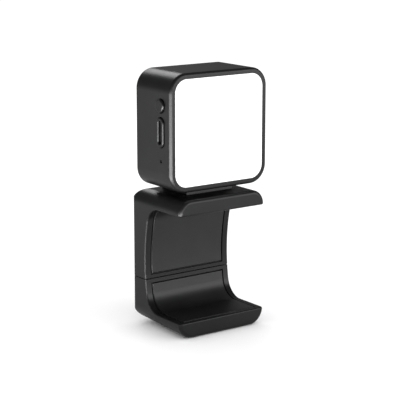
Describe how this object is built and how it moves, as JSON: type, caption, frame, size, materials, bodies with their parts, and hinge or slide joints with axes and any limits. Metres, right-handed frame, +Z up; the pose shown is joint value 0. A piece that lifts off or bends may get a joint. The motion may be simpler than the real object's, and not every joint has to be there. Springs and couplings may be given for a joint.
{
  "type": "led panel light",
  "caption": "Square pocket panel light with opal front, side button and rocker, tilting on a rear-hinged foot above a C-shaped sprung phone clamp with rubber grip pads.",
  "frame": {"origin": "on the resting plane under the middle of the object's bounding box, at the foot of the clamp", "axes": "+Z up, -Y towards the front (the lit face and the clamp's mouth), +X to the right as seen from the front; the controls are on the -X side"},
  "size_m": [0.0631, 0.0442, 0.139],
  "materials": {
    "housing": "fine-grained satin moulded plastic",
    "clamp": "fine-grained satin moulded plastic",
    "controls": "satin moulded plastic",
    "opal": "matt opal acrylic",
    "white_plastic": "matt white moulded plastic",
    "grip_rubber": "fine matt silicone rubber",
    "steel": "bright zinc plated",
    "black_screw": "black oxide",
    "hinge_metal": "black powder coat",
    "spring_steel": "drawn wire",
    "brass": "knurled, turned",
    "pcb": "green solder mask",
    "led_pcb": "white solder mask on aluminium",
    "led": "phosphor under clear resin",
    "aluminium": "mill finish",
    "battery": "foil pouch",
    "tape": "double-sided foam tape",
    "chips": "moulded epoxy",
    "tongue": "smooth acetal",
    "smoke": "smoked clear acrylic"
  },
  "bodies": {
    "lower_jaw": {"lower_jaw_shell": "clamp", "lower_grip_pad": "grip_rubber", "guide_tongue": "tongue", "tongue_stop": "tongue", "tongue_screws": "black_screw", "lower_spring_bar": "steel", "bottom_cover": "clamp", "bottom_cover_screws": "black_screw", "tripod_insert": "brass", "return_springs": "spring_steel"},
    "upper_jaw": {"upper_jaw_shell": "clamp", "upper_grip_pad": "grip_rubber", "upper_back_cover": "clamp", "upper_cover_screws": "black_screw", "upper_spring_bar": "steel", "hinge_base": "hinge_metal", "hinge_pin": "steel", "friction_washers": "steel", "hinge_base_screws": "black_screw"},
    "light_head": {"head_shell": "housing", "diffuser": "opal", "reflector_tray": "white_plastic", "led_board": "led_pcb", "led_chips": "led", "heat_spreader": "aluminium", "battery_cell": "battery", "battery_tape": "tape", "control_board": "pcb", "board_chips": "chips", "board_screws": "black_screw", "usb_c_shell": "steel", "usb_c_tongue": "chips", "rear_cover": "housing", "rear_cover_screws": "black_screw", "rocker_pin": "steel", "switch_board": "pcb", "switch_board_screws": "black_screw", "tact_switches": "steel", "status_light_pipe": "smoke", "hinge_leaf": "hinge_metal", "hinge_leaf_screws": "black_screw"},
    "button": {"power_button": "controls", "power_plunger": "white_plastic"},
    "rocker": {"brightness_rocker": "controls", "rocker_plungers": "white_plastic"}
  },
  "joints": [
    {"name": "jaw_slide", "type": "slide", "parent": "lower_jaw", "child": "upper_jaw", "axis": [0, 0, 1], "range_m": [0, 0.028], "stiffness_N_per_m": 250, "springref_m": -0.028, "deforming": ["return_springs"]},
    {"name": "head_tilt", "type": "hinge", "parent": "upper_jaw", "child": "light_head", "pos_m": [0, 0.0117, 0.07565], "axis": [-1, 0, 0], "range_deg": [0, 80]},
    {"name": "button_press", "type": "slide", "parent": "light_head", "child": "button", "axis": [1, 0, 0], "range_m": [0, 0.0006], "stiffness_N_per_m": 800, "springref_m": -0.0004},
    {"name": "rocker_rock", "type": "hinge", "parent": "light_head", "child": "rocker", "pos_m": [-0.02775, -0.0103, 0.1085], "axis": [0, 1, 0], "range_deg": [-3, 3], "stiffness_Nm_per_rad": 0.05}
  ]
}
